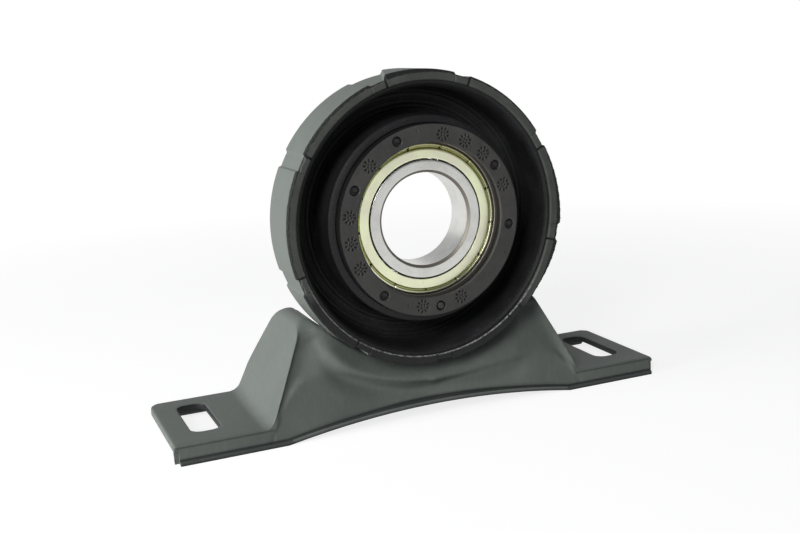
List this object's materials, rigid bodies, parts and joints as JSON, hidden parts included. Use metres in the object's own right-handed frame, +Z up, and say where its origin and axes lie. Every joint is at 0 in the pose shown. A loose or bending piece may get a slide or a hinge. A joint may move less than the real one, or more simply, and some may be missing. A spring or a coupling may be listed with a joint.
{
  "type": "driveshaft centre bearing",
  "caption": "Pressed steel bracket with two slotted feet carrying a rubber-mounted ball bearing in a round band, to hold a driveshaft at its middle.",
  "frame": {"origin": "on the surface that the bracket's lips stand on, under the centre of the whole part's outline", "axes": "+X along the bracket from foot to foot, +Y along the shaft from the open front of the ring to its rear, +Z up from the feet to the ring"},
  "size_m": [0.173, 0.0504, 0.1134],
  "materials": {
    "bracket_paint": "satin grey paint",
    "band_paint": "satin grey paint",
    "rubber": "matt moulded rubber",
    "coated_collar": "rubber coating, moulded",
    "race_steel": "ground bearing steel",
    "shield_zinc": "yellow passivated pressing",
    "cage_steel": "pressed strip",
    "ball_steel": "polished"
  },
  "bodies": {
    "support": {"mount_bracket": "bracket_paint", "outer_band": "band_paint", "rubber_mount": "rubber", "bearing_collar": "coated_collar", "outer_race": "race_steel", "front_shield": "shield_zinc", "rear_shield": "shield_zinc"},
    "shaft_ring": {"inner_race": "race_steel"},
    "cage": {"cage_front": "cage_steel", "cage_rear": "cage_steel", "cage_rivet_01": "cage_steel", "cage_rivet_02": "cage_steel", "cage_rivet_03": "cage_steel", "cage_rivet_04": "cage_steel", "cage_rivet_05": "cage_steel", "cage_rivet_06": "cage_steel", "cage_rivet_07": "cage_steel", "cage_rivet_08": "cage_steel", "cage_rivet_09": "cage_steel", "cage_rivet_10": "cage_steel", "cage_rivet_11": "cage_steel"},
    "ball_body_01": {"ball_01": "ball_steel"},
    "ball_body_02": {"ball_02": "ball_steel"},
    "ball_body_03": {"ball_03": "ball_steel"},
    "ball_body_04": {"ball_04": "ball_steel"},
    "ball_body_05": {"ball_05": "ball_steel"},
    "ball_body_06": {"ball_06": "ball_steel"},
    "ball_body_07": {"ball_07": "ball_steel"},
    "ball_body_08": {"ball_08": "ball_steel"},
    "ball_body_09": {"ball_09": "ball_steel"},
    "ball_body_10": {"ball_10": "ball_steel"},
    "ball_body_11": {"ball_11": "ball_steel"}
  },
  "joints": [
    {"name": "shaft_spin", "type": "hinge", "parent": "support", "child": "shaft_ring", "pos_m": [0, -0.0143, 0.0659], "axis": [0, 1, 0], "continuous": true},
    {"name": "cage_orbit", "type": "hinge", "parent": "support", "child": "cage", "pos_m": [0, -0.0143, 0.0659], "axis": [0, 1, 0], "continuous": true},
    {"name": "ball_spin_01", "type": "hinge", "parent": "cage", "child": "ball_body_01", "pos_m": [0, -0.0143, 0.08715], "axis": [0, 1, 0], "continuous": true},
    {"name": "ball_spin_02", "type": "hinge", "parent": "cage", "child": "ball_body_02", "pos_m": [-0.01149, -0.0143, 0.08378], "axis": [0, 1, 0], "continuous": true},
    {"name": "ball_spin_03", "type": "hinge", "parent": "cage", "child": "ball_body_03", "pos_m": [-0.01933, -0.0143, 0.07473], "axis": [0, 1, 0], "continuous": true},
    {"name": "ball_spin_04", "type": "hinge", "parent": "cage", "child": "ball_body_04", "pos_m": [-0.02103, -0.0143, 0.06288], "axis": [0, 1, 0], "continuous": true},
    {"name": "ball_spin_05", "type": "hinge", "parent": "cage", "child": "ball_body_05", "pos_m": [-0.01606, -0.0143, 0.05198], "axis": [0, 1, 0], "continuous": true},
    {"name": "ball_spin_06", "type": "hinge", "parent": "cage", "child": "ball_body_06", "pos_m": [-0.00599, -0.0143, 0.04551], "axis": [0, 1, 0], "continuous": true},
    {"name": "ball_spin_07", "type": "hinge", "parent": "cage", "child": "ball_body_07", "pos_m": [0.00599, -0.0143, 0.04551], "axis": [0, 1, 0], "continuous": true},
    {"name": "ball_spin_08", "type": "hinge", "parent": "cage", "child": "ball_body_08", "pos_m": [0.01606, -0.0143, 0.05198], "axis": [0, 1, 0], "continuous": true},
    {"name": "ball_spin_09", "type": "hinge", "parent": "cage", "child": "ball_body_09", "pos_m": [0.02103, -0.0143, 0.06288], "axis": [0, 1, 0], "continuous": true},
    {"name": "ball_spin_10", "type": "hinge", "parent": "cage", "child": "ball_body_10", "pos_m": [0.01933, -0.0143, 0.07473], "axis": [0, 1, 0], "continuous": true},
    {"name": "ball_spin_11", "type": "hinge", "parent": "cage", "child": "ball_body_11", "pos_m": [0.01149, -0.0143, 0.08378], "axis": [0, 1, 0], "continuous": true}
  ],
  "couplings": [
    {"joint": "cage_orbit", "follows": "shaft_spin", "ratio": 0.41595},
    {"joint": "ball_spin_01", "follows": "shaft_spin", "ratio": -2.8905},
    {"joint": "ball_spin_02", "follows": "shaft_spin", "ratio": -2.8905},
    {"joint": "ball_spin_03", "follows": "shaft_spin", "ratio": -2.8905},
    {"joint": "ball_spin_04", "follows": "shaft_spin", "ratio": -2.8905},
    {"joint": "ball_spin_05", "follows": "shaft_spin", "ratio": -2.8905},
    {"joint": "ball_spin_06", "follows": "shaft_spin", "ratio": -2.8905},
    {"joint": "ball_spin_07", "follows": "shaft_spin", "ratio": -2.8905},
    {"joint": "ball_spin_08", "follows": "shaft_spin", "ratio": -2.8905},
    {"joint": "ball_spin_09", "follows": "shaft_spin", "ratio": -2.8905},
    {"joint": "ball_spin_10", "follows": "shaft_spin", "ratio": -2.8905},
    {"joint": "ball_spin_11", "follows": "shaft_spin", "ratio": -2.8905}
  ]
}
